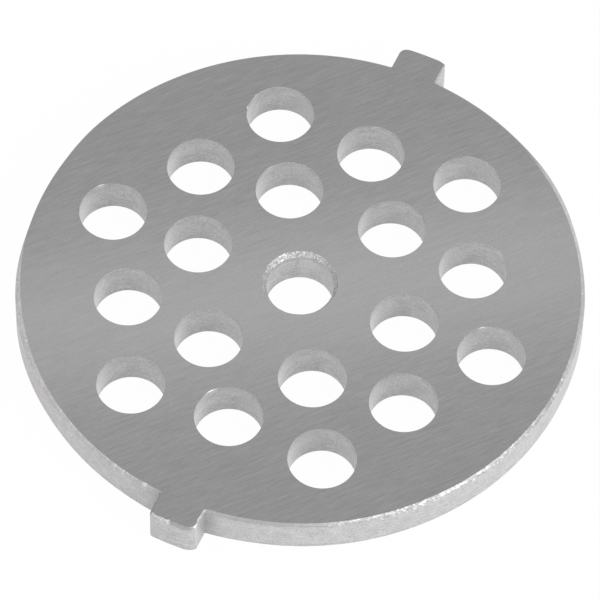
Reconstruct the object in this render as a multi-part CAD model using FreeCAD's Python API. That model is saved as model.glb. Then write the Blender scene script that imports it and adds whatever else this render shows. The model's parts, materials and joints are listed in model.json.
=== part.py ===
import FreeCAD, Part
import math
import os

# A perforated plate for a meat grinder: one flat steel disc with a plain bore for the
# screw's spindle, three rings of feed holes and two lugs that keep the plate from turning.
# The origin is on the bore's axis at the underside. The ground face, which the knife runs
# on, is on top at +Z, and the two lugs point along +Y and -Y. Lengths are in millimetres.

# Disc
disc_diameter = 62.0
thickness = 4.5
rim_break = 0.35

# Bore in the middle, opened out by a chamfer at the ground face
bore_diameter = 7.5
bore_chamfer = 0.5

# Feed holes
hole_diameter = 7.5
holes_per_ring = 6
hub_land = 4.85
web = 2.8

# Locating lugs on the rim
lug_count = 2
lug_width = 5.3
lug_height = 2.8
lug_corner_radius = 0.6

# Every cutter runs this far past the faces that it goes through
overrun = 1.0

axis = FreeCAD.Vector(0, 0, 1)
disc_radius = disc_diameter / 2
bore_radius = bore_diameter / 2
hole_radius = hole_diameter / 2
lug_angles = [90 + k * 360 / lug_count for k in range(lug_count)]


def upright_edges(solid):
    """The edges of a solid that run parallel to the bore's axis."""
    return [edge for edge in solid.Edges if edge.BoundBox.ZLength > thickness / 2]


def lug():
    """One lug, pointing along +X: a bar from the middle of the disc, with its two outer
    corners rounded and its end cut to an arc about the bore's axis."""
    reach = disc_radius + lug_height
    corner = FreeCAD.Vector(0, -lug_width / 2, 0)
    bar = Part.makeBox(reach, lug_width, thickness, corner)
    bar = bar.common(Part.makeCylinder(reach, thickness))
    outer_edges = [edge for edge in upright_edges(bar) if edge.BoundBox.XMin > disc_radius]
    return bar.makeFillet(lug_corner_radius, outer_edges)


def rim_edges(solid):
    """The disc's own arcs in both faces of the blank, from one lug to the next."""
    flat_edges = [edge for edge in solid.Edges if edge.BoundBox.ZLength < rim_break]
    return [edge for edge in flat_edges if edge.Length > disc_radius]


def blank():
    """The stamped blank: disc and lugs in one piece, the disc's rim broken at both faces."""
    body = Part.makeCylinder(disc_radius, thickness)
    for angle in lug_angles:
        ear = lug()
        ear.rotate(FreeCAD.Vector(0, 0, 0), axis, angle)
        body = body.fuse(ear)
    body = body.removeSplitter()
    return body.makeChamfer(rim_break, rim_edges(body))


def bore():
    """What the bore takes away: a cylinder, and a cone at 45 degrees at the ground face."""
    cylinder = Part.makeCylinder(bore_radius, thickness + 2 * overrun, -overrun * axis)
    cone_height = bore_chamfer + overrun
    cone = Part.makeCone(
        bore_radius,
        bore_radius + cone_height,
        cone_height,
        (thickness - bore_chamfer) * axis,
    )
    return cylinder.fuse(cone)


def ring_layout():
    """Radius and first angle of each ring of feed holes.

    The inner ring stands one hub land outside the bore. Each middle hole sits between two
    inner ones, a web away from both: its radius is the inner radius times the cosine of
    half a step, plus the root of the spacing squared less the inner radius times the sine
    of half a step squared. Each outer hole sits a web outside an inner one.
    """
    spacing = hole_diameter + web
    half_step = 180 / holes_per_ring
    inner = bore_radius + hub_land + hole_radius
    beside = inner * math.sin(math.radians(half_step))
    middle = inner * math.cos(math.radians(half_step)) + math.sqrt(spacing**2 - beside**2)
    outer = inner + spacing
    return [(inner, 0), (middle, half_step), (outer, 0)]


def feed_holes():
    """A cutter for each feed hole. A ring is drilled where a web of metal stays outside it."""
    cutters = []
    for ring_radius, first_angle in ring_layout():
        if ring_radius + hole_radius + web > disc_radius:
            continue
        for k in range(holes_per_ring):
            angle = math.radians(first_angle + k * 360 / holes_per_ring)
            foot = FreeCAD.Vector(
                ring_radius * math.cos(angle),
                ring_radius * math.sin(angle),
                -overrun,
            )
            cutters.append(Part.makeCylinder(hole_radius, thickness + 2 * overrun, foot))
    return cutters


def grinder_plate():
    """The finished plate."""
    return blank().cut([bore()] + feed_holes())


plate = grinder_plate()
for ring_radius, first_angle in ring_layout():
    print("ring of feed holes at radius", round(ring_radius, 2), "from", first_angle, "degrees")
print("plate volume", round(plate.Volume, 1), "mm3, valid", plate.isValid())
os.makedirs("parts", exist_ok=True)
plate.exportStep("parts/grinder_plate.step")
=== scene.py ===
# %% [markdown]
# # A coarse plate for a meat grinder
#
# The object is one piece of steel: a flat disc with two lugs on its rim, a bore in the middle
# and three rings of feed holes. Its top was ground flat for the knife, so it is grey and finely
# streaked, while the rim and the walls of the holes were left pale and matt.
#
# A solid like this can be made with booleans, or as a curve with holes that is filled and
# extruded. Here it is built from its walls instead. Each wall is a short profile carried round
# a closed path, so the worn edges, the burr and the nicks are real shape, and two flat faces
# then fill the space between the walls.

# %% Open the frame
import json
import math

import bpy
import numpy as np
from mathutils import Matrix, Vector, geometry


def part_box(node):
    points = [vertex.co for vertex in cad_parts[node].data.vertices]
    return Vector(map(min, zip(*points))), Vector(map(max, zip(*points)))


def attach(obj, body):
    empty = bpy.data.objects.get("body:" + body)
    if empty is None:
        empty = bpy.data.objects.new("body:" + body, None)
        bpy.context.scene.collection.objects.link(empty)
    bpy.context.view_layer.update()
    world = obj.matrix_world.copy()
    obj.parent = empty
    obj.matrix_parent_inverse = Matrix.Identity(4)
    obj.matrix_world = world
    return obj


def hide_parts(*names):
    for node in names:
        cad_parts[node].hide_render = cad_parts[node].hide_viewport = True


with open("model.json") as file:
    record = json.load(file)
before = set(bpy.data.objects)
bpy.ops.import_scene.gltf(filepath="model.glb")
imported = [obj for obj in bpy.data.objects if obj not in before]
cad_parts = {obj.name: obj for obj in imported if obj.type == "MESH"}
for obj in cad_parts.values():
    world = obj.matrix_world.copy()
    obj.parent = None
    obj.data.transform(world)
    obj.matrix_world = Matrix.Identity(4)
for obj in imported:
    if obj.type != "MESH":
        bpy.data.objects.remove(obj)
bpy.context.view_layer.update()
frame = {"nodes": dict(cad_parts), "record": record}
node = "grinder_plate"
MM = 0.001


def in_mm(*lengths):
    """Lengths in millimetres, rounded for a print."""
    return [round(float(length) / MM, 3) for length in lengths]


# %% [markdown]
# ## Sizes
#
# The construction model already holds the real sizes, so they are read from it and not typed
# again. The box gives the disc, the lugs' reach and the thickness. The bore is a mount in the
# record, and the boxes that keep the feed holes open give the holes' centres. The radius of a
# feed hole is how far the nearest corner of the model stands from such a centre, and a lug is
# as wide as the corners that stand clear of the disc.

# %% Read the sizes
CLEAR_OF_DISC = 1 * MM
RIM_BREAK = 0.35 * MM

low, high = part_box(node)
thickness = high.z - low.z
disc_radius = high.x
lug_reach = high.y

record = frame["record"]
bore_dims = next(m["dims"] for m in record["mounts"] if m["name"] == "spindle_bore")
bore_radius = bore_dims["r_mm"] * MM
bore_chamfer = thickness - bore_dims["length_mm"] * MM

cad_mesh = frame["nodes"][node].data
corners = np.zeros(len(cad_mesh.vertices) * 3)
cad_mesh.vertices.foreach_get("co", corners)
corners = corners.reshape(-1, 3)

hole_boxes = np.array([opening["box_m"] for opening in record["physics"]["openings"]])
hole_centres = hole_boxes.mean(axis=1)[:, :2]
hole_radius = np.linalg.norm(corners[:, :2] - hole_centres[0], axis=1).min()
lug_half_width = np.abs(corners[corners[:, 1] > disc_radius + CLEAR_OF_DISC, 0]).max()
print("thickness, disc radius and lug reach in mm:", in_mm(thickness, disc_radius, lug_reach))
print("bore, feed hole and half a lug in mm:", in_mm(bore_radius, hole_radius, lug_half_width))

# %% [markdown]
# ## Unevenness that repeats exactly
#
# Real edges are never even. A noise with a chosen grain is made by blurring random numbers. The
# blur is done on their frequencies, because that wraps round without a seam, which a closed
# path needs. The random numbers come from one seeded source, so each run gives the same plate.

# %% Smooth noise on a closed grid
dice = np.random.default_rng(62)


def ripple(shape, widths):
    """White noise of the given shape, blurred along each axis by a Gaussian of that width in
    grid steps, and scaled to a deviation of one. In frequencies the blur is a product with
    exp(-2 (pi width f)^2), and it wraps round at the ends."""
    spectrum = np.fft.fftn(dice.standard_normal(shape))
    for axis, width in enumerate(widths):
        frequency = np.fft.fftfreq(shape[axis])
        blur = np.exp(-2 * (math.pi * width * frequency) ** 2)
        spectrum *= blur.reshape([-1 if a == axis else 1 for a in range(len(shape))])
    noise = np.fft.ifftn(spectrum).real
    return (noise - noise.mean()) / noise.std()


print("ripple of 8 x 400, deviation", round(float(ripple((8, 400), (1, 4)).std()), 3))

# %% [markdown]
# ## The outline
#
# The rim is followed once round, against the clock. Each half of it is a lug and the long arc
# after it. A lug is two flanks, two corner arcs and an end that is an arc about the disc's own
# centre. The punch was worn, so no corner is rounded like the next, and one lug is a little
# short.

# %% The rim's path
STEP = 0.11 * MM
FEWEST_STEPS = 3


def arc(radius, start, end):
    """Points of an arc about the disc's centre, from start up to but without end, about one
    STEP apart: radius (cos a, sin a)."""
    count = max(FEWEST_STEPS, math.ceil(abs(end - start) * radius / STEP))
    a = np.linspace(start, end, count, endpoint=False)
    return radius * np.column_stack([np.cos(a), np.sin(a)])


def straight(start, end):
    """Points of a line, from start up to but without end, about one STEP apart."""
    start, end = np.array(start), np.array(end)
    count = max(FEWEST_STEPS, math.ceil(np.linalg.norm(end - start) / STEP))
    return start + np.linspace(0, 1, count, endpoint=False)[:, None] * (end - start)


def lug_corner(reach, run, drop, roundness, side):
    """A worn corner of a lug that points along +X: its points from the flank to the end. It
    leaves the flank F at a distance drop before the sharp corner C and joins the end E at a
    distance run beyond it. With M halfway from F to E and B = M + roundness (C - M), it is
    the curve (1 - t)^2 F + 2 t (1 - t) B + t^2 E, so roundness 0 is a plain bevel."""
    across = lug_half_width - run
    end = np.array([math.sqrt(reach**2 - across**2), side * across])
    sharp = np.array([end[0], side * lug_half_width])
    flank = sharp - (drop, 0)
    middle = (flank + end) / 2
    bend = middle + roundness * (sharp - middle)
    count = max(FEWEST_STEPS + 1, math.ceil(np.linalg.norm(end - flank) / STEP))
    t = np.linspace(0, 1, count)[:, None]
    return (1 - t) ** 2 * flank + 2 * t * (1 - t) * bend + t**2 * end


def half_outline(reach, first, second):
    """A lug along +X and the arc of the disc after it. first and second are the run, the drop
    and the roundness of the lug's two corners."""
    first_corner = lug_corner(reach, *first, -1)
    second_corner = lug_corner(reach, *second, 1)[::-1]
    first_turn = math.atan2(first_corner[-1, 1], first_corner[-1, 0])
    second_turn = math.atan2(second_corner[0, 1], second_corner[0, 0])
    root = math.sqrt(disc_radius**2 - lug_half_width**2)
    root_angle = math.atan2(lug_half_width, root)
    return np.vstack([
        straight((root, -lug_half_width), first_corner[0]),
        first_corner[:-1],
        arc(reach, first_turn, second_turn),
        second_corner[:-1],
        straight(second_corner[-1], (root, lug_half_width)),
        arc(disc_radius, root_angle, math.pi - root_angle),
    ])


# run, drop and roundness of the corners at both ends of a lug
FAR_CORNERS = (0.86 * MM, 0.25 * MM, 0.3), (1.15 * MM, 0.85 * MM, 0.85)
NEAR_CORNERS = (0.35 * MM, 0.35 * MM, 0.75), (1.2 * MM, 0.65 * MM, 0.55)
NEAR_LUG_SHORT = 0.1 * MM

far = half_outline(lug_reach, *FAR_CORNERS)
near = half_outline(lug_reach - NEAR_LUG_SHORT, *NEAR_CORNERS)
far_half = np.column_stack([-far[:, 1], far[:, 0]])
near_half = np.column_stack([near[:, 1], -near[:, 0]])
rim_path = np.vstack([far_half, near_half])
rim_angle = np.degrees(np.arctan2(rim_path[:, 1], rim_path[:, 0]))
print("the rim's path has", len(rim_path), "points")

# %% [markdown]
# ## A profile carried round a path
#
# Every wall of the plate comes from one function. At each point of the path it takes the
# direction out of the metal, and the profile says, row by row, how far inside the path the
# surface lies and how high it stands. Both may change along the path, which is how an edge
# gets its burr. At a sharp corner the direction is stretched, as in a mitre, so that a
# straight edge stays straight on both sides of it.

# %% Walls
stock = {kind: [] for kind in (
    "points", "quads", "triangles", "quad_finish", "triangle_finish", "wear_and_light", "ground")}
WALL, HOLE, FACE, CHAMFER, UNDERSIDE = range(5)


def out_of_metal(path):
    """Unit normals to the right of a closed path, mitred: the sum n of the two neighbouring
    edge normals, divided by its own share along one of them."""
    ahead = np.roll(path, -1, axis=0) - path
    ahead /= np.linalg.norm(ahead, axis=1)[:, None]
    normal = np.column_stack([ahead[:, 1], -ahead[:, 0]])
    both = normal + np.roll(normal, 1, axis=0)
    both /= np.linalg.norm(both, axis=1)[:, None]
    return both / np.sum(both * normal, axis=1)[:, None]


def carry(path, inset, height, wear_and_light, ground, finish):
    """A wall: row j, column i stands at path i less inset[j, i] times the direction out of the
    metal, at height[j, i]. Rows run from the top face down to the underside. The arrays after
    height say how far each point is bright, from wear and painted light, and how far it is grey,
    from the ground face's grey and painted shade, and finish gives each strip between two rows
    its material. Returns the numbers of the first and last row's points."""
    rows, count = inset.shape
    plan = path[None] - inset[..., None] * out_of_metal(path)[None]
    points = np.dstack([plan, height]).reshape(-1, 3)
    first = sum(len(earlier) for earlier in stock["points"])
    number = first + np.arange(rows * count).reshape(rows, count)
    after = np.roll(number, -1, axis=1)
    quads = np.stack([number[:-1], number[1:], after[1:], after[:-1]], axis=-1)
    stock["points"].append(points)
    stock["quads"].append(quads.reshape(-1, 4))
    stock["quad_finish"].append(np.repeat(finish, count))
    stock["wear_and_light"].append(wear_and_light.reshape(-1))
    stock["ground"].append(ground.reshape(-1))
    return number[0], number[-1]


print("a wall is a grid of rows and columns, closed round its path")

# %% [markdown]
# ## The rim
#
# The disc was cut out, its rim was broken at both faces, and the top was ground afterwards. On
# the far side the break is as grey as the ground face. On the near side it is pale, and along
# one stretch it is a ragged, bright band with painted glints, where the cutter smeared the steel
# over the edge. So the break has several rows, and its depth and its dents change along the
# rim. The lugs have hardly any break.
#
# All of this is told by angle about the bore. The far lug is at 90 degrees and the near one at
# -90, and a window or a bell curve says how much of each kind of wear, and of painted light
# and shade, a point of the rim has.

# %% Windows and bells
def window(angle, start, end, fade):
    """One between start and end degrees and nothing outside, with ends that fade smoothly:
    t t (3 - 2 t) of the distance inside each end over fade."""
    middle = (start + end) / 2
    away = np.abs((angle - middle + 180) % 360 - 180)
    t = np.clip(((end - start) / 2 - away) / fade, 0, 1)
    return t * t * (3 - 2 * t)


def bell(angle, middle, width):
    """One at the middle, and less away from it: exp(-((angle - middle) / width)^2)."""
    return np.exp(-(((angle - middle) / width) ** 2))


print("a window from 0 to 40 that fades over 20, at 10:", float(window(np.array(10.0), 0, 40, 20)))

# %% Zones of the rim
# start, end and fade in degrees. The last four are on the near lug, where its edge is rubbed
# bright, where it is flecked, where its break goes further down and where it leans.
ZONES = {
    "burr": (-63, 6, 7),
    "dull start": (-85, -58, 6),
    "dull end": (-14, 34, 10),
    "ground": (48, 202, 14),
    "pale far corner": (84.9, 86.4, 0.3),
    "rubbed": (-94.4, -80, 0.4),
    "flecked": (-95, -90.2, 0.5),
    "dropped": (-90.8, -85.7, 0.7),
    "leaning": (-96, -94.2, 0.35),
}
ROOT_MARGIN = 0.01
FAR_CORNER_PALE = 0.6
zone = {name: window(rim_angle, *limits) for name, limits in ZONES.items()}

count = len(rim_path)
reach = np.linalg.norm(rim_path, axis=1)
root_turn = math.degrees(math.asin(lug_half_width / disc_radius))
on_lug = 1.0 * (np.abs(np.abs(rim_angle) - 90) < root_turn + ROOT_MARGIN)
from_lug = np.abs(rim_angle + 90) - root_turn

burr = zone["burr"] * (1 - on_lug)
ground = zone["ground"] * (1 - FAR_CORNER_PALE * zone["pale far corner"])
lug_rub = on_lug * zone["rubbed"]
lug_flecks = on_lug * zone["flecked"]
lug_drop = on_lug * zone["dropped"]
lug_lean = on_lug * zone["leaning"]
print("points of the rim on the lugs:", int(on_lug.sum()), "with burr:", int((burr > 0).sum()))

# %% Flanks of the lugs and the metal beside them
NEAR_EDGE, NEAR_EDGE_WIDTH, NEAR_FLANK = -85.45, 0.12, 0.55
FAR_FLANK, FAR_FLANK_HALF = 85.3, 0.25
FAR_CORNER_DROP, FAR_CORNER_FADE = 0.35 * MM, 0.6 * MM

# the upright edge at the near lug's right, which gets a painted highlight that fades downwards,
# and the flank that goes back from it, painted darker towards its root as painted shade
lug_edge_highlight = bell(rim_angle, NEAR_EDGE, NEAR_EDGE_WIDTH)
shade_to_flank_root = on_lug * np.clip((rim_angle - NEAR_EDGE) / NEAR_FLANK, 0, 1) * (rim_angle < 0)

# the far lug's right flank, whose break is broader and fades out before the corner
under_corner = np.clip((lug_reach - FAR_CORNER_DROP - reach) / FAR_CORNER_FADE, 0, 1)
far_flank = on_lug * (np.abs(rim_angle - FAR_FLANK) < FAR_FLANK_HALF) * under_corner

# painted shade in the corners beside the near lug, where the lug shades the wall: its share and
# its width in degrees, close to the lug and further out
CLOSE_SHADE, OUTER_SHADE = (0.35, 2.5), (0.12, 9)
lug_shade = sum(share * bell(from_lug, 0, width) for share, width in (CLOSE_SHADE, OUTER_SHADE))
shade_beside_lug = (1 - on_lug) * lug_shade
print("greyest beside the near lug:", round(float(shade_beside_lug.max()), 2))

# %% The disc isn't quite round
# middle and half width in degrees, and how far in mm the wall stands proud of the true circle
swells = [(-178.5, 22, -0.36), (-145, 25, 0.26), (16, 16, 0.09), (50, 15, 0.14)]
swell = np.zeros(count)
for place, half, size in swells:
    swell += size * MM * window(rim_angle, place - half, place + half, half)
rim_path = rim_path * (1 + swell / reach)[:, None]
print("the rim is off the true circle by", in_mm(swell.min(), swell.max()), "mm")

# %% Unevenness along the rim
# grain, in steps of the rim's path, of the burr's teeth, waves and patches, of the bright flecks
# and of the break on the disc
TOOTH, WAVE, PATCH, FLECK, BREAK_GRAIN = 1.6, 16, 22, 1.3, 30
# how much of the teeth the patches leave: on average, how far that varies, and at least
PATCH_MEAN, PATCH_SPREAD, PATCH_LEAST = 0.5, 0.6, 0.1
# a fleck is where its noise is above this
FLECK_FROM = 1.2

ragged = np.abs(ripple((count,), (TOOTH,)))
slow = np.abs(ripple((count,), (WAVE,)))
patchy = np.clip(PATCH_MEAN + PATCH_SPREAD * ripple((count,), (PATCH,)), PATCH_LEAST, 1)
flecks = np.clip(ripple((count,), (FLECK,)) - FLECK_FROM, 0, 1)
uneven = ripple((count,), (BREAK_GRAIN,))
print("points of the rim with a fleck:", int((flecks > 0).sum()), "of", count)

# %% Breadth and depth of the break
# in mm: the break on a lug, and what is added to it where it leans, on the far lug's flank and
# where it is rubbed; then how much deeper it is where it has dropped, and less so where it leans
LUG_PLAIN, LUG_LEANING, LUG_FLANK, LUG_RUBBED = 0.05, 0.12, 0.1, 0.13
LUG_DROPPED, LEAN_SHALLOW = 0.3, 0.08
# in mm: how far the burr hangs down, in teeth and in slow waves, and how far in its teeth reach
BURR_TEETH, BURR_WAVES, BURR_INWARDS = 0.1, 0.12, 0.035
# how uneven the break is on the disc and where a lug is rubbed, as a share of it
BREAK_NOISE, LUG_NOISE = 0.05, 0.3
# the average of ragged, so that the teeth reach out as far as in
AVERAGE_TOOTH = 0.8


def lug_or_disc(for_lug, for_disc):
    """The first value on a lug, and the second on the disc's own rim."""
    return for_disc + (for_lug - for_disc) * on_lug


plain_break = RIM_BREAK * (1 + BREAK_NOISE * uneven) + swell
lug_break = LUG_PLAIN + LUG_LEANING * lug_lean + LUG_FLANK * far_flank
lug_break = (lug_break + LUG_RUBBED * lug_rub * (1 + LUG_NOISE * ragged)) * MM

break_inset = lug_or_disc(lug_break, plain_break)
break_inset += burr * BURR_INWARDS * (ragged - AVERAGE_TOOTH) * patchy * MM
break_depth = lug_or_disc(lug_break, RIM_BREAK)
break_depth += (LUG_DROPPED * lug_drop - LEAN_SHALLOW * lug_lean) * MM
break_depth += burr * (BURR_TEETH * ragged * patchy + BURR_WAVES * slow) * MM
print("break depth from and to in mm:", in_mm(break_depth.min(), break_depth.max()))

# %% The break at the underside
# It follows the swells by a share, and is smaller by a share beside the near lug, over a width
# in degrees.
LUG_FOOT = 0.08 * MM
FOOT_SWELL = 0.7
FOOT_LESS, FOOT_LESS_WIDTH = 0.65, 6

foot_break = RIM_BREAK + FOOT_SWELL * swell
foot_break *= 1 - FOOT_LESS * bell(from_lug, 0, FOOT_LESS_WIDTH)
foot_break = lug_or_disc(LUG_FOOT, foot_break)
print("break at the underside from and to in mm:", in_mm(foot_break.min(), foot_break.max()))

# %% Knocks
# middle and width in degrees and depth in mm of the dents that knocks have left in the edge,
# which reach half as far in as down
KNOCK_INWARDS = 0.5
knocks = [
    (-98.5, 0.4, 0.16),
    (-106.0, 0.25, 0.12),
    (-103.7, 0.2, 0.1),
    (-94.2, 0.45, 0.45),
    (-90.6, 0.3, 0.14),
]
knocked = np.zeros(count)
for place, width, depth in knocks:
    bump = bell(rim_angle, place, width)
    knocked += bump
    break_depth += depth * MM * bump
    break_inset += KNOCK_INWARDS * depth * MM * bump
print("break depth with the knocks in mm:", in_mm(break_depth.min(), break_depth.max()))

# %% Shape of the rim's wall
BREAK_ROWS = 9
WALL_ROWS = 8
FOOT_ROWS = 4
RIM_TOOL_MARKS = 0.006 * MM
# in mm: how deep the break is dented everywhere, in the burr, in its patches and on the lug
DENTS, BURR_DENTS, PATCH_DENTS, LUG_DENTS = 0.004, 0.015, 0.03, 0.01
# grain of the dents and of the tool marks, in rows and in steps of the path
DENT_GRAIN, TOOL_GRAIN = (0.7, 1.2), (1, 5)


def rim_shape():
    """The break lies between a bevel and an arc from the top face to the wall: with u from 0
    to 1, inset a (1 - (u + sin 90u) / 2) and drop b (u + 1 - cos 90u) / 2. Noise dents it, most
    in the burr. The wall goes straight down, and the foot turns in at the underside as the
    break does."""
    u = np.linspace(0, 1, BREAK_ROWS)[:, None]
    rounded = 1 - 0.5 * (u + np.sin(u * math.pi / 2))
    dropped = 0.5 * (u + 1 - np.cos(u * math.pi / 2))
    dents = np.abs(ripple((BREAK_ROWS, count), DENT_GRAIN))
    rough = (DENTS + burr * (BURR_DENTS + PATCH_DENTS * patchy) + LUG_DENTS * lug_rub) * MM
    inset = rounded * break_inset + ((u > 0) & (u < 1)) * dents * rough
    height = high.z - dropped * break_depth

    w = np.linspace(0, 1, FOOT_ROWS)[:, None]
    foot_inset = foot_break * (1 - 0.5 * (1 - w + np.cos(w * math.pi / 2)))
    foot_height = low.z + foot_break * (1 - 0.5 * (w + np.sin(w * math.pi / 2)))

    v = np.linspace(0, 1, WALL_ROWS)[1:-1, None]
    wall_height = height[-1] + v * (foot_height[0] - height[-1])
    wall_inset = RIM_TOOL_MARKS * np.abs(ripple((WALL_ROWS - 2, count), TOOL_GRAIN))
    inset = np.vstack([inset, wall_inset, foot_inset])
    height = np.vstack([height, wall_height, foot_height])
    return inset, height


inset, height = rim_shape()
print("rim wall:", inset.shape[0], "rows of", inset.shape[1])

# %% How bright the rim's wall is, by wear and by painted light
# shares of bright metal in the burr and in the flecks on the near lug: what is everywhere in
# them, and what their painted glints add
BURR_PLAIN, BURR_GLINTS = 0.1, 0.5
FLECKS_PLAIN, FLECKS_GLINTS = 0.3, 0.6
# shares in the specks and in the rubbed edge, and how many rows of the break they reach down
SPECKS, RUBBED, SPECK_ROWS = 0.8, 0.5, 3
# how much is left of the burr at its sides, and of all this in the lowest row of the break
AT_THE_SIDES, LOWEST_ROW = 0.4, 0.3
# shares of the painted highlight on the near lug's upright edge, at its top and at the foot
EDGE_TOP, EDGE_FOOT = 1.6, 0.3
# where the burr's first and last row stand, as shares of the way across it
BURR_FROM, BURR_TO = 0.1, 0.9
# how much the painted glints brighten the metal, on average and at most, and the grain of that
# in rows and steps
GLINTS_MEAN, GLINTS_MOST, GLINT_GRAIN = 0.2, 1.5, (0.8, 0.8)


def rim_bright(rows, glints):
    """How far each point is bright, from wear and from painted light: the burr's worn metal and
    its painted glints, most in its middle, by s + (1 - s) sin of the way across it, the flecks
    and the rubbed edge of the near lug, the knocks, and a painted highlight on the lug's upright
    edge, which fades downwards."""
    across = np.sin(np.linspace(BURR_FROM, BURR_TO, BREAK_ROWS) * math.pi)[:, None]
    across = AT_THE_SIDES + (1 - AT_THE_SIDES) * across
    wear_and_light = np.zeros((rows, count))
    wear_and_light[:BREAK_ROWS] = burr * (BURR_PLAIN + BURR_GLINTS * glints) * across
    wear_and_light[:BREAK_ROWS] += lug_flecks * (FLECKS_PLAIN + FLECKS_GLINTS * glints) + knocked
    wear_and_light[:SPECK_ROWS] += SPECKS * flecks + RUBBED * (lug_rub - lug_flecks - lug_drop).clip(0, 1)
    wear_and_light[BREAK_ROWS - 1] *= LOWEST_ROW
    edge_rows = np.linspace(EDGE_TOP, EDGE_FOOT, rows - FOOT_ROWS - 1)[:, None]
    wear_and_light[1:-FOOT_ROWS] += edge_rows * lug_edge_highlight
    return np.clip(wear_and_light, 0, 1) * (1 - ground) * (1 - lug_lean)


glints = np.clip(GLINTS_MEAN + ripple((BREAK_ROWS, count), GLINT_GRAIN), 0, GLINTS_MOST)
wear_and_light = rim_bright(len(inset), glints)
print("points of the rim that are worn bright:", int((wear_and_light > 0.5).sum()), "of", wear_and_light.size)

# %% How grey the rim's wall is, and its painted shade
# shares of grey in the near side's break: everywhere, in its two dull stretches, between the
# painted glints of the burr, and where the lug's edge has dropped
BREAK_GREY, START_GREY, END_GREY, BURR_GREY, DROPPED_GREY = 0.12, 0.36, 0.25, 0.35, 0.5
# shares on the near lug, of painted shade on its flank towards the root, and just under the
# far side's break
LUG_GREY, FLANK_SHADE, UNDER_BREAK = 0.1, 0.35, 0.5


def rim_grey(rows, glints):
    """How far each point is as grey as the ground face: all of the far side's break, a little of
    the near side's, the near lug's wall, a little greyer, and painted shade beside the near lug
    and towards its flank's root, where the lug shades the wall."""
    lug_grey_and_shade = shade_beside_lug + LUG_GREY * on_lug * (rim_angle < 0) + FLANK_SHADE * shade_to_flank_root
    dull = BREAK_GREY + START_GREY * zone["dull start"] + END_GREY * zone["dull end"]
    on_disc = (1 - on_lug) * (dull + BURR_GREY * burr * (1 - glints))
    on_break = on_disc + DROPPED_GREY * lug_drop + lug_lean
    grey_and_shade = np.zeros((rows, count)) + lug_grey_and_shade
    grey_and_shade[:BREAK_ROWS] = ground + (1 - ground) * (on_break + lug_grey_and_shade).clip(0, 1)
    grey_and_shade[BREAK_ROWS - 1] = UNDER_BREAK * ground + lug_grey_and_shade
    return grey_and_shade


grey_and_shade = rim_grey(len(inset), glints)
finish = [WALL] * (len(inset) - 1)
rim_top, rim_foot = carry(rim_path, inset, height, wear_and_light, grey_and_shade, finish)
print("points of the rim that are mostly grey:", int((grey_and_shade > 0.5).sum()))

# %% [markdown]
# ## The feed holes
#
# A drilled hole is a circle carried down. The path of a hole runs with the clock, so that the
# direction out of the metal points to the hole's middle. Grinding left the upper edges nearly
# sharp, with a small nick here and there. One side of each wall is painted paler, and more so
# further down: painted light, as from the white table below and the lamp on the right. Other
# sides are painted greyer, most just under the edge, as painted shade.

# %% Circles and nicks
HOLE_STEPS = 128
HOLE_BREAK = 0.012 * MM
FOOT = 0.06 * MM
TOOL_MARKS = 0.004 * MM
NICK_BRIGHT = 0.06 * MM

# hole number, direction about the hole in degrees, width in degrees, size in mm
nicks = [
    (14, 190, 3, 0.1),
    (14, 162, 3, 0.04),
    (15, 137, 8, 0.05),
    (10, 145, 11, 0.06),
    (12, 127, 8, 0.05),
    (2, 150, 8, 0.02),
    (6, 60, 12, 0.04),
]


def round_path(centre, radius, steps):
    """A circle about centre, followed with the clock: centre + radius (cos a, -sin a)."""
    a = np.linspace(0, 2 * math.pi, steps, endpoint=False)
    return np.array(centre) + radius * np.column_stack([np.cos(a), -np.sin(a)])


def nick_size(number, direction):
    """How much the nicks widen the edge of a hole: a bell curve at each of them."""
    nick = np.zeros(len(direction))
    for hole, place, width, depth in nicks:
        if hole == number:
            away = (direction - place + 180) % 360 - 180
            nick += depth * MM * bell(away, 0, width)
    return nick


print(len(nicks), "nicks in the upper edges of the holes")

# %% Walls of the feed holes
# start, end and fade in degrees about a hole: where its wall is painted paler, more so further
# down, as painted light from below; where it is painted paler from top to bottom, as painted
# light; and where it is painted greyer, as painted shade, all the way down and under the edge
PAINTED_LIGHT_SIDE = (140, 262, 60)
PALER_SIDE = (30, 110, 40)
GREYER_SIDE = (85, 185, 40)
GREYER_EDGE = (100, 170, 30)
# shares of that painted light and of that painted shade
PALER, GREYER, GREYER_UNDER_EDGE = 0.1, 0.18, 0.12
# how far down the break each of its rows is, and how far out it is from the last row
EDGE_SHARES = np.array([0, 0.4, 1])[:, None]
EDGE_ROWS = len(EDGE_SHARES)
# how uneven the break is, the grain of that in steps, and the most that counts
EDGE_NOISE, EDGE_GRAIN, EDGE_MOST = 0.35, 2.5, 2
HOLE_ROWS = 5
PAINTED_LIGHT_POWER = 0.7


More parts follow.
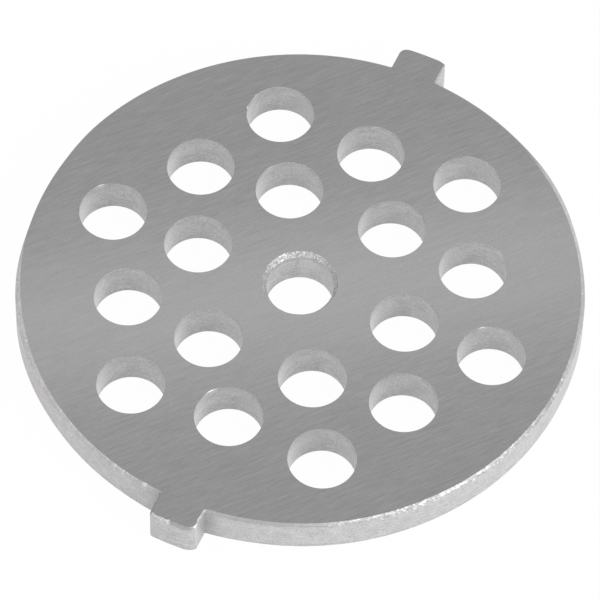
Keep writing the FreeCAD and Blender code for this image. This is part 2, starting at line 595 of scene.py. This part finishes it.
def hole_wall(number):
    """Edge break of a hole, wall and foot. The break is b (1 + noise) wide and high, and wider
    at each nick. One side of the wall gets painted light, by the share of its height above the
    point to the power 0.7, so that it is paler further down. The edge is bright where it is
    nicked and otherwise as grey as the ground face, and painted shade greys another side, most
    just under the edge."""
    direction = -np.degrees(np.linspace(0, 2 * math.pi, HOLE_STEPS, endpoint=False))
    noise = ripple((HOLE_STEPS,), (EDGE_GRAIN,)).clip(-EDGE_MOST, EDGE_MOST)
    size = HOLE_BREAK * (1 + EDGE_NOISE * noise)
    nick = nick_size(number, direction)
    size += nick
    depths = EDGE_SHARES * size
    insets = EDGE_SHARES[::-1] * size
    v = np.linspace(0, 1, HOLE_ROWS + 1)[1:, None]
    wall_height = (high.z - size) + v * (low.z + FOOT - high.z + size)
    wall_inset = TOOL_MARKS * np.abs(ripple((HOLE_ROWS, HOLE_STEPS), TOOL_GRAIN))
    inset = np.vstack([insets, wall_inset, np.full((1, HOLE_STEPS), FOOT)])
    height = np.vstack([high.z - depths, wall_height, np.full((1, HOLE_STEPS), low.z)])

    nicked = np.clip(nick / NICK_BRIGHT, 0, 1)
    wear_and_light = window(direction, *PAINTED_LIGHT_SIDE) * ((high.z - height) / thickness) ** PAINTED_LIGHT_POWER
    wear_and_light[:EDGE_ROWS] = nicked
    wear_and_light[EDGE_ROWS:] += PALER * window(direction, *PALER_SIDE)
    grey_and_shade = np.zeros_like(inset) + GREYER * window(direction, *GREYER_SIDE)
    grey_and_shade[: EDGE_ROWS + 1] += GREYER_UNDER_EDGE * window(direction, *GREYER_EDGE)
    grey_and_shade[: EDGE_ROWS - 1] = 1 - nicked
    return inset, height, wear_and_light, np.clip(grey_and_shade, 0, 1)


hole_tops, hole_feet = [], []
for number, centre in enumerate(hole_centres):
    inset, height, wear_and_light, grey_and_shade = hole_wall(number)
    path = round_path(centre, hole_radius, HOLE_STEPS)
    top, foot = carry(path, inset, height, wear_and_light, grey_and_shade, [HOLE] * (len(inset) - 1))
    hole_tops.append(top)
    hole_feet.append(foot)
print(len(hole_centres), "feed holes, radius in mm:", in_mm(hole_radius))

# %% [markdown]
# ## The bore
#
# The spindle of the screw turns in the bore. A countersink has opened its upper edge at 45
# degrees, a little to one side, and chattered as it went round: the chamfer is covered in small
# bright facets. They are too coarse for a bump, so they are modelled as dents on a fine grid.

# %% Shape of the bore's wall
BORE_STEPS = 240
CHAMFER_ROWS = 14
BORE_ROWS = 7
BORE_CENTRE = (-0.07 * MM, -0.02 * MM)
BORE_TIGHT = 0.05 * MM
CHAMFER_WIDTH = 0.9
CHAMFER_LEAN = 0.12
LEAN_TOWARDS = 140
CHAMFER_ASKEW = 0.9
CHAMFER_NOISE = 0.04
CHATTER = 0.009 * MM
CHATTER_FADE = 0.25
JUST_BELOW = 0.03
# grain, in rows and steps, of the chatter and of the tool marks, and of the chamfer's width
CHATTER_GRAIN, BORE_GRAIN, WIDTH_GRAIN = (0.7, 0.9), (1, 8), 3


def bore_shape(direction):
    """The chamfer is a straight bevel, inset c (1 - u) and drop d u, dented by the chatter. Its
    width c is 0.9 + 0.12 cos(direction - lean) times the nominal one. The tool stood a little
    askew, so d is c (1 + 0.9 s^2) with s = (1 - sin direction) / 2. The wall goes down from
    there, and its first row is close to the chamfer, which keeps that edge crisp."""
    lean = CHAMFER_WIDTH + CHAMFER_LEAN * np.cos(direction - math.radians(LEAN_TOWARDS))
    askew = 1 + CHAMFER_ASKEW * (0.5 - 0.5 * np.sin(direction)) ** 2
    u = np.linspace(0, 1, CHAMFER_ROWS)[:, None]
    dents = ripple((CHAMFER_ROWS, BORE_STEPS), CHATTER_GRAIN)
    fade = np.clip(np.minimum(u, 1 - u) / CHATTER_FADE, 0, 1)
    width = bore_chamfer * lean * (1 + CHAMFER_NOISE * ripple((BORE_STEPS,), (WIDTH_GRAIN,)))
    inset = width * (1 - u) + CHATTER * fade * np.abs(dents)
    height = high.z - bore_chamfer * lean * askew * u
    v = np.append(JUST_BELOW, np.linspace(0, 1, BORE_ROWS)[1:])[:, None]
    wall_height = height[-1] + v * (low.z + FOOT - height[-1])
    wall_inset = TOOL_MARKS * np.abs(ripple((BORE_ROWS, BORE_STEPS), BORE_GRAIN))
    inset = np.vstack([inset, wall_inset, np.full((1, BORE_STEPS), FOOT)])
    height = np.vstack([height, wall_height, np.full((1, BORE_STEPS), low.z)])
    return inset, height


bore_direction = -np.linspace(0, 2 * math.pi, BORE_STEPS, endpoint=False)
inset, height = bore_shape(bore_direction)
print("chamfer and bore radius in mm:", in_mm(bore_chamfer, bore_radius - BORE_TIGHT))

# %% Wear and painted light of the bore's wall
# start, end and fade in degrees about the bore, of the zones that are painted brighter on the
# far side of the bore, where the chamfer and the wall face the front: painted light and painted
# glints
BRIGHT_CHAMFER = (30, 200, 70)
GLINTING_CHAMFER = (90, 200, 40)
BRIGHT_BORE = (25, 125, 25)
# shares of bright metal in the chamfer and in its painted glints, all round and added in those
# zones as painted light
CHAMFER_PLAIN, CHAMFER_BRIGHT = 0.35, 0.3
GLINTS_PLAIN, GLINTS_BRIGHT = 0.12, 0.3
CHAMFER_GLINT_GRAIN = (0.6, 0.5)
# shares of painted light in the wall below it, and how bright and how grey the edge between the
# two is: a painted shadow under the chamfer
BORE_BRIGHT, BORE_PAINTED_LIGHT = 0.3, 0.15
CHAMFER_EDGE_LEFT, CHAMFER_EDGE_SHADE = 0.4, 0.3


def bore_wear(rows, turn):
    """How far each point is bright, and how far it is grey. The chamfer is painted brighter on the
    far side of the bore, where it faces the front, and its painted glints are strongest there. A
    painted shadow darkens the edge below it, and the wall gets painted light on one side as the
    feed holes do."""
    glints = ripple((CHAMFER_ROWS, BORE_STEPS), CHAMFER_GLINT_GRAIN)
    glints *= GLINTS_PLAIN + GLINTS_BRIGHT * window(turn, *GLINTING_CHAMFER)
    chamfer = CHAMFER_PLAIN + CHAMFER_BRIGHT * window(turn, *BRIGHT_CHAMFER)
    wall = BORE_BRIGHT * window(turn, *BRIGHT_BORE) + BORE_PAINTED_LIGHT * window(turn, *PAINTED_LIGHT_SIDE)
    wear_and_light = np.zeros((rows, BORE_STEPS))
    wear_and_light[:CHAMFER_ROWS] = chamfer + glints
    wear_and_light[CHAMFER_ROWS - 1] *= CHAMFER_EDGE_LEFT
    wear_and_light[CHAMFER_ROWS:] = wall
    grey_and_shade = np.zeros((rows, BORE_STEPS))
    grey_and_shade[CHAMFER_ROWS - 1 : CHAMFER_ROWS + 1] = CHAMFER_EDGE_SHADE
    return np.clip(wear_and_light, 0, 1), grey_and_shade


wear_and_light, grey_and_shade = bore_wear(len(inset), np.degrees(bore_direction))
finish = [CHAMFER] * (CHAMFER_ROWS - 1) + [HOLE] * (len(inset) - CHAMFER_ROWS)
bore_path = round_path(BORE_CENTRE, bore_radius - BORE_TIGHT, BORE_STEPS)
bore_top, bore_foot = carry(bore_path, inset, height, wear_and_light, grey_and_shade, finish)
print("bore wall:", len(inset), "rows,", CHAMFER_ROWS, "of them in the chamfer")

# %% [markdown]
# ## The two flat faces
#
# The top and the underside are flat, so they need no points of their own: the edge points of
# the walls are joined by triangles. A constrained Delaunay triangulation does that and keeps
# every edge of the walls. It also fills the holes, so the triangles whose middle lies inside a
# hole are dropped, and so are those outside the rim, in the notches beside the lugs.

# %% Fill the faces
WITH_ALL_TRIANGLES = 0
TOUCHING = 1e-6


def inside_loop(points, loop):
    """Which points lie inside a closed loop: the loop crosses the ray from the point along +X
    an odd number of times."""
    x0, y0 = loop[:, 0], loop[:, 1]
    x1, y1 = np.roll(x0, -1), np.roll(y0, -1)
    px, py = points[:, 0, None], points[:, 1, None]
    spans = (y0 > py) != (y1 > py)
    with np.errstate(divide="ignore", invalid="ignore"):
        crossing = x0 + (py - y0) * (x1 - x0) / (y1 - y0)
    return (np.sum(spans & (px < crossing), axis=1) % 2) == 1


def fill(rim, holes, finish, upwards):
    """Triangles between the rim's loop and the loops of the holes, as numbers of stock points.
    The triangulation works in millimetres, and returns its points first, its triangles third
    and, fourth, which of the given points each of its points was."""
    points = np.vstack(stock["points"])
    loops = [rim] + holes
    numbers = np.concatenate(loops)
    plan = points[numbers, :2] / MM
    starts = np.cumsum([0] + [len(loop) for loop in loops])
    edges = []
    for a, b in zip(starts, starts[1:]):
        loop = np.arange(a, b)
        edges += np.column_stack([loop, np.roll(loop, -1)]).tolist()
    made = geometry.delaunay_2d_cdt(plan.tolist(), edges, [], WITH_ALL_TRIANGLES, TOUCHING, True)
    triangles = np.array(made[2])
    source = np.array([ids[0] for ids in made[3]])
    middle = np.array([tuple(p) for p in made[0]])[triangles].mean(axis=1)
    keep = inside_loop(middle, plan[: len(rim)])
    for a, b in zip(starts[1:], starts[2:]):
        keep &= ~inside_loop(middle, plan[a:b])
    triangles = numbers[source[triangles[keep]]]
    if not upwards:
        triangles = triangles[:, ::-1]
    stock["triangles"].append(triangles)
    stock["triangle_finish"].append(np.full(len(triangles), finish))
    return len(triangles)


top_count = fill(rim_top, hole_tops + [bore_top], FACE, True)
under_count = fill(rim_foot, hole_feet + [bore_foot], UNDERSIDE, False)
print("top face of", top_count, "triangles, underside of", under_count)

# %% [markdown]
# ## One closed mesh
#
# The walls and the faces share their edge points, so the mesh is closed as it is. The walls are
# shaded smooth and the faces flat, and edges that turn by more than 35 degrees stay crisp.

# %% Put the mesh together
CRISP_FROM = math.radians(35)

points = np.vstack(stock["points"])
quads = np.vstack(stock["quads"])
triangles = np.vstack(stock["triangles"])
plate_mesh = bpy.data.meshes.new("ground_plate")
plate_mesh.from_pydata(points, [], quads.tolist() + triangles.tolist())
finishes = np.concatenate(stock["quad_finish"] + stock["triangle_finish"])
plate_mesh.polygons.foreach_set("material_index", finishes.astype(np.int32))
# the first attribute holds wear and painted light, the ground attribute the ground face's grey and
# painted shade
for wear in ("wear_and_light", "ground"):
    attribute = plate_mesh.attributes.new(wear, "FLOAT", "POINT")
    attribute.data.foreach_set("value", np.concatenate(stock[wear]).astype(np.float32))
plate_mesh.set_sharp_from_angle(angle=CRISP_FROM)
plate_mesh.polygons.foreach_set("use_smooth", np.arange(len(finishes)) < len(quads))
plate_mesh.update()
plate = bpy.data.objects.new("ground_plate", plate_mesh)
bpy.context.scene.collection.objects.link(plate)
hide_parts(node)
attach(plate, "root")
print("ground_plate:", 2 * len(quads) + len(triangles), "triangles")

# %% Is it closed
# The edges of all faces are counted, whichever way they run. A closed mesh has each one twice.
sides = []
for faces in (quads, triangles):
    for k in range(faces.shape[1]):
        sides.append(faces[:, [k, (k + 1) % faces.shape[1]]])
edges, uses = np.unique(np.sort(np.vstack(sides), axis=1), axis=0, return_counts=True)
print("every edge joins two faces:", (uses == 2).all())
print("every point has a place:", np.isfinite(points).all())

# %% [markdown]
# ## Writing shaders as sums
#
# A node tree is easier to read as arithmetic. Wire holds one output socket, and adding,
# subtracting or multiplying wires adds the Math node for it. Finish is a material under
# construction: its node method makes any other node from a type, its settings and its inputs.

# %% A small shader language
class Wire:
    """An output socket that can be added, subtracted and multiplied."""

    def __init__(self, finish, socket):
        self.finish = finish
        self.socket = socket

    def combine(self, operation, first, second):
        """The Math node for an operation on two wires or numbers."""
        return self.finish.node("ShaderNodeMath", {"operation": operation}, {0: first, 1: second})

    def __add__(self, other):
        return self.combine("ADD", self, other)

    def __sub__(self, other):
        return self.combine("SUBTRACT", self, other)

    def __mul__(self, other):
        return self.combine("MULTIPLY", self, other)

    def __rsub__(self, other):
        return self.combine("SUBTRACT", other, self)

    __radd__ = __add__
    __rmul__ = __mul__


class Finish:
    """A material, or the world, whose nodes are made one call at a time."""

    def __init__(self, owner):
        owner.use_nodes = True
        self.tree = owner.node_tree
        self.tree.nodes.clear()

    def node(self, kind, settings=None, inputs=None, output=0):
        """Makes a node, sets its settings and then its inputs, and returns the wanted output."""
        made = self.tree.nodes.new(kind)
        for key, value in (settings or {}).items():
            setattr(made, key, value)
        for key, value in (inputs or {}).items():
            socket = made.inputs[key]
            if isinstance(value, Wire):
                self.tree.links.new(value.socket, socket)
            else:
                socket.default_value = value
        return Wire(self, made.outputs[output]) if len(made.outputs) else made

    def place(self, turn=0.0, scale=(1, 1, 1)):
        """Object coordinates, turned about Z by so many degrees and then stretched."""
        here = self.node("ShaderNodeTexCoord", output="Object")
        turned = self.node("ShaderNodeMapping", {"vector_type": "POINT"},
                           {"Vector": here, "Rotation": (0, 0, math.radians(turn))})
        return self.node("ShaderNodeVectorMath", {"operation": "MULTIPLY"}, {0: turned, 1: scale})

    def noise(self, where, scale=1.0, detail=2.0, roughness=0.5):
        """Noise about nothing, from about -0.5 to 0.5."""
        value = self.node("ShaderNodeTexNoise", {"noise_dimensions": "3D"},
                          {"Vector": where, "Scale": scale, "Detail": detail, "Roughness": roughness})
        return value - 0.5

    def ramp(self, value, low_end, high_end):
        """Nothing below low_end and one above high_end, smoothly between."""
        return self.node("ShaderNodeMapRange", {"interpolation_type": "SMOOTHSTEP"},
                         {"Value": value, "From Min": low_end, "From Max": high_end})

    def blend(self, share, first, second):
        """A colour between two colours."""
        return self.node("ShaderNodeMix", {"data_type": "RGBA"},
                         {0: share, 6: first, 7: second}, output=2)


LESS_GREEN, LESS_BLUE = 0.6, 0.35


def grey(level, warmth=0.0):
    """A linear grey. A warm one has more red in it, by the warmth, and less green and blue."""
    green, blue = 1 - LESS_GREEN * warmth, 1 - LESS_BLUE * warmth
    return (level * (1 + warmth), level * green, level * blue, 1)


def steel(finish, colour, roughness, metallic, height, bump_depth):
    """Joins a metal's varying inputs to its shader and its output."""
    bump = finish.node("ShaderNodeBump", None, {
        "Height": height, "Strength": 1.0, "Distance": bump_depth})
    shader = finish.node("ShaderNodeBsdfPrincipled", None, {
        "Base Color": colour, "Roughness": roughness, "Metallic": metallic, "Normal": bump})
    finish.node("ShaderNodeOutputMaterial", None, {"Surface": shader})


print("shader language ready")

# %% [markdown]
# ## The ground face
#
# A surface grinder passed over the plate in straight strokes, 50 degrees from the disc's X
# axis. Each grain of the wheel left a line about a tenth of a millimetre wide and a millimetre
# or two long, so the face is a stack of noises stretched along the stroke, with a speckle of
# grain over them. The lines are faint: they shift the grey by a few percent and tilt the
# surface a little. A few deeper scratches, made later, stand out.

# %% Material of the ground face
GRIND_ANGLE = 50.4
FACE_GREY = 0.284
FACE_SPREAD = 0.28
FACE_ROUGHNESS = 0.2
STROKE_DEPTH = 0.0004 * MM
# shares in the colour of fine, middling and broad strokes, of the grain and of a scratch
FINE, MIDDLING, BROAD, GRAIN, SCRATCH = 0.48, 0.36, 0.12, 0.26, 0.25
# shares in the roughness of fine and middling strokes, and of a scratch in the height
ROUGH_FINE, ROUGH_MIDDLING, SCRATCH_HEIGHT = 0.08, 0.05, 0.5
UNDERSIDE_PALER = 1.15


def ground_face(name, level, contrast):
    """Three layers of strokes, fine, middling and broad, a grain and a few long scratches. All
    of them change the colour, the strokes also the roughness, and the fine ones the height."""
    material = bpy.data.materials.new(name)
    f = Finish(material)

    def strokes(turn, along, across, detail):
        """Noise with so many ripples to the metre along and across the stroke."""
        return f.noise(f.place(turn - GRIND_ANGLE, (along, across, 1)), detail=detail)

    fine = strokes(turn=-3.0, along=420, across=5200, detail=1.5)
    middling = strokes(turn=2.5, along=220, across=2900, detail=1.5)
    broad = strokes(turn=0.0, along=60, across=420, detail=1.0)
    grain = f.noise(f.place(), scale=5200.0, detail=1.0)
    marks = FINE * fine + MIDDLING * middling + BROAD * broad + GRAIN * grain
    long_strokes = strokes(turn=3.0, along=70, across=3200, detail=1.0)
    scratch = f.ramp(long_strokes, low_end=0.25, high_end=0.36)
    share = 0.5 + contrast * marks + SCRATCH * scratch
    colour = f.blend(share, grey(level * (1 - FACE_SPREAD)), grey(level * (1 + FACE_SPREAD)))
    roughness = FACE_ROUGHNESS + ROUGH_FINE * fine + ROUGH_MIDDLING * middling
    height = fine + SCRATCH_HEIGHT * scratch
    steel(f, colour, roughness, metallic=1.0, height=height, bump_depth=STROKE_DEPTH)
    return material


face_steel = ground_face("ground_face", level=FACE_GREY, contrast=1.1)
under_steel = ground_face("underside", level=FACE_GREY * UNDERSIDE_PALER, contrast=0.7)
print("grind lines run at", GRIND_ANGLE, "degrees")

# %% [markdown]
# ## The pale walls
#
# The rim and the holes were cut and then tumbled, so their steel is pale, matt and slightly
# blotchy, with a faint warm tint in places. A speckle of fine grain lies over broad blotches.
# Where the mesh marks wear and painted light, the metal is brighter and smoother, broken up by
# a coarse speckle, and where it marks the ground face's grey and painted shade, it takes that
# grey.

# %% Material of the walls and of the chamfer
WALL_SPREAD = 0.2
WARMTH = 0.016
GRAIN_DEPTH = 0.015 * MM
# shares in the colour of blotches, grain and the lines of the tool
TONE_BLOTCH, TONE_GRAIN, TONE_DRAG = 0.4, 1.0, 0.6
# shares in the height of blotches and grain
BLOTCH_HEIGHT, GRAIN_HEIGHT = 0.3, 0.5
# how much smoother the bright metal of wear and painted light is, and how much rougher the
# grain
WORN_SMOOTHER, GRAIN_ROUGHER = 0.15, 0.1


def pale_wall(name, level, bright, speckle_size, evenness, metal, base_roughness, contrast):
    """Colour: blotches, grain and the lines of the tool about one grey, a warm tint in broad
    patches, a brighter grey where the attribute of wear and painted light and the speckle are
    both high, and the ground face's grey where the ground attribute, which holds that grey and
    painted shade, is high. bright is the grey of worn metal and of painted light, speckle_size
    the speckle's ripples to the metre along each axis, and evenness the share of that brightness
    that has no speckle."""
    material = bpy.data.materials.new(name)
    f = Finish(material)
    where = f.place()
    blotch = f.noise(where, scale=700.0, detail=3.0, roughness=0.6)
    grain = f.noise(where, scale=4200.0, detail=2.0)
    drag = f.noise(f.place(scale=(700, 700, 5200)), detail=1.0)
    warm = f.ramp(f.noise(where, scale=120.0, detail=1.0), low_end=0.0, high_end=0.16)
    tone = 0.5 + contrast * (TONE_BLOTCH * blotch + TONE_GRAIN * grain + TONE_DRAG * drag)
    dark, light = level * (1 - WALL_SPREAD), level * (1 + WALL_SPREAD)
    plain = f.blend(tone, grey(dark), grey(light))
    tinted = f.blend(tone, grey(dark, WARMTH), grey(light, WARMTH))
    colour = f.blend(warm, plain, tinted)
    wear_and_light = f.node("ShaderNodeAttribute", {"attribute_name": "wear_and_light"}, output="Fac")
    specks = f.noise(f.place(scale=speckle_size), detail=3.0, roughness=0.65)
    speckle = f.ramp(specks, low_end=-0.04, high_end=0.12)
    shine = wear_and_light * (evenness + (1 - evenness) * speckle)
    colour = f.blend(shine, colour, grey(bright))
    grey_and_shade = f.node("ShaderNodeAttribute", {"attribute_name": "ground"}, output="Fac")
    colour = f.blend(grey_and_shade, colour, grey(FACE_GREY))
    roughness = base_roughness - WORN_SMOOTHER * shine + GRAIN_ROUGHER * grain
    height = BLOTCH_HEIGHT * blotch + GRAIN_HEIGHT * grain
    steel(f, colour, roughness, metal, height, GRAIN_DEPTH)
    return material


wall_steel = pale_wall(
    "rim_wall", level=0.545, bright=0.9, speckle_size=(3200, 3200, 5200),
    evenness=0.2, metal=0.5, base_roughness=0.5, contrast=1.8)
hole_steel = pale_wall(
    "hole_wall", level=0.53, bright=0.8, speckle_size=(3200, 3200, 3200),
    evenness=0.8, metal=0.5, base_roughness=0.5, contrast=2.0)
chamfer_steel = pale_wall(
    "countersink", level=0.33, bright=0.95, speckle_size=(5200, 5200, 6200),
    evenness=0.2, metal=0.3, base_roughness=0.6, contrast=1.4)

# in the order of WALL, HOLE, FACE, CHAMFER and UNDERSIDE
for material in (wall_steel, hole_steel, face_steel, chamfer_steel, under_steel):
    plate_mesh.materials.append(material)
print("finishes:", [m.name for m in plate_mesh.materials])

# %% [markdown]
# ## Floor and light
#
# The plate lies on a white table in even, soft light. The table is lit like everything else, so
# it holds the plate's shadow, but seen directly or mirrored in the metal most of its colour
# comes as plain white, which keeps the background clean. The world does the same. A wide lamp
# on the right makes the walls that face it paler. A long narrow lamp behind and above, with a
# grid on it that keeps its light together, is mirrored in the ground face as one soft bright
# band across it.

# %% The floor
TABLE_SHARE = 0.975
TABLE_GREY = 0.9
FLOOR_GAP = 0.02 * MM
FLOOR_HALF = 1.5


def seen_directly(finish):
    """One for a ray from the camera, from a mirror or through glass, and nothing for others."""
    rays = [finish.node("ShaderNodeLightPath", output=kind)
            for kind in ("Is Camera Ray", "Is Glossy Ray", "Is Transmission Ray")]
    return rays[0] + rays[1] + rays[2]


def floor_material():
    """A mix of a white diffuse surface and a plain white that needs no light."""
    material = bpy.data.materials.new("white_table")
    f = Finish(material)
    lit = f.node("ShaderNodeBsdfDiffuse", None, {"Color": grey(TABLE_GREY)})
    plain = f.node("ShaderNodeEmission", None, {"Color": grey(1.0), "Strength": 1.0})
    share = TABLE_SHARE * seen_directly(f)
    mixed = f.node("ShaderNodeMixShader", None, {0: share, 1: lit, 2: plain})
    f.node("ShaderNodeOutputMaterial", None, {"Surface": mixed})
    return material


floor_mesh = bpy.data.meshes.new("table")
ends = (-FLOOR_HALF, FLOOR_HALF)
floor_mesh.from_pydata([(x, y, low.z - FLOOR_GAP) for y in ends for x in ends], [], [(0, 1, 3, 2)])
floor_mesh.materials.append(floor_material())
floor = bpy.data.objects.new("table", floor_mesh)
bpy.context.scene.collection.objects.link(floor)
print("table", 2 * FLOOR_HALF, "m wide")

# %% The world
WORLD_LEVEL = 0.85
world = bpy.data.worlds.new("studio")
bpy.context.scene.world = world
w = Finish(world)
level = WORLD_LEVEL + (1 - WORLD_LEVEL) * seen_directly(w)
background = w.node("ShaderNodeBackground", None, {"Color": grey(1.0), "Strength": level})
w.node("ShaderNodeOutputWorld", None, {"Surface": background})
print("world level", WORLD_LEVEL)

# %% [markdown]
# ## The camera
#
# The view of the photograph was worked out from the edges of the disc and the holes: a long
# lens, 57 degrees above the table, far enough away that the disc is barely in perspective. The
# camera is written as the point that it looks at, the two angles, the distance and a small
# roll.

# %% Camera
CAMERA_AZIMUTH = 23.087
CAMERA_ELEVATION = 56.626
CAMERA_ROLL = 1.345
CAMERA_DISTANCE = 642.65 * MM
CAMERA_LENS = 353.65
SENSOR_WIDTH = 36
SEES_AS_FAR_AS = 10
AIM_RIGHT = -0.054 * MM
AIM_AWAY = -2.217 * MM

azimuth = math.radians(CAMERA_AZIMUTH)
elevation = math.radians(CAMERA_ELEVATION)
roll = math.radians(CAMERA_ROLL)
right = Vector((math.cos(azimuth), math.sin(azimuth), 0))
away = Vector((-math.sin(azimuth), math.cos(azimuth), 0))
look = math.cos(elevation) * away - math.sin(elevation) * Vector((0, 0, 1))
upright = right.cross(look)
aim = AIM_RIGHT * right + AIM_AWAY * away + Vector((0, 0, high.z))
side = math.cos(roll) * right + math.sin(roll) * upright
top = math.cos(roll) * upright - math.sin(roll) * right

camera = bpy.data.objects.new("camera", bpy.data.cameras.new("camera"))
camera.data.lens = CAMERA_LENS
camera.data.sensor_width = SENSOR_WIDTH
camera.data.clip_end = SEES_AS_FAR_AS
camera.matrix_world = Matrix((side, top, -look)).transposed().to_4x4()
camera.location = aim - CAMERA_DISTANCE * look
bpy.context.scene.collection.objects.link(camera)
bpy.context.scene.camera = camera
print("camera at", [round(v, 3) for v in camera.location])

# %% [markdown]
# ## The lamps
#
# A flat mirror shows a lamp where the straight line from the camera, folded at the mirror, meets
# it. So the strip hangs beyond the plate on that folded line, at right angles to it, and its
# long side lies along the band that is wanted on the face.

# %% A rectangular lamp
def lamp(name, width, length, power, place, target, along):
    """A rectangular lamp at place, shining at target, with its long side along a direction."""
    data = bpy.data.lights.new(name, "AREA")
    data.shape = "RECTANGLE"
    data.size, data.size_y = length, width
    data.energy = power
    made = bpy.data.objects.new(name, data)
    back = (place - target).normalized()
    x = (along - along.dot(back) * back).normalized()
    made.matrix_world = Matrix((x, back.cross(x), back)).transposed().to_4x4()
    made.location = place
    made.visible_camera = False
    bpy.context.scene.collection.objects.link(made)
    return made


print("a lamp shines along its own -Z")

# %% The strip
STRIP_DISTANCE = 150 * MM
STRIP_WIDTH = 15 * MM
STRIP_LENGTH = 260 * MM
STRIP_SPREAD = 20.0
STRIP_POWER = 0.00011
BAND_ANGLE = 33.0
BAND_OFFSET = -1.6 * MM

band = math.radians(BAND_ANGLE)
band_along = Vector((math.cos(band), math.sin(band), 0))
band_across = Vector((-math.sin(band), math.cos(band), 0))
band_middle = BAND_OFFSET * band_across + Vector((0, 0, high.z))
folded = (band_middle - camera.location).normalized()
folded.z = -folded.z
strip = lamp("strip", STRIP_WIDTH, STRIP_LENGTH, STRIP_POWER,
             band_middle + STRIP_DISTANCE * folded, band_middle, band_along)
strip.data.spread = math.radians(STRIP_SPREAD)
print("strip at", [round(v, 3) for v in strip.location])

# %% The wide lamp on the right
KEY_AZIMUTH = -18.0
KEY_ELEVATION = 29.0
KEY_DISTANCE = 0.72
KEY_WIDTH = 0.3
KEY_LENGTH = 0.4
KEY_POWER = 2.2

turn, rise = math.radians(KEY_AZIMUTH), math.radians(KEY_ELEVATION)
level_way = Vector((math.cos(turn), math.sin(turn), 0))
key_way = math.cos(rise) * level_way + math.sin(rise) * Vector((0, 0, 1))
key = lamp("key", KEY_WIDTH, KEY_LENGTH, KEY_POWER,
           KEY_DISTANCE * key_way, Vector((0, 0, 0)), Vector((0, 0, 1)).cross(key_way))
print("wide lamp at", [round(v, 3) for v in key.location])

# %% [markdown]
# ## Colour and the end
#
# Standard shows a colour as it is written.

# %% Colour, then finish
scene = bpy.context.scene
scene.view_settings.view_transform = "Standard"
bpy.context.view_layer.update()
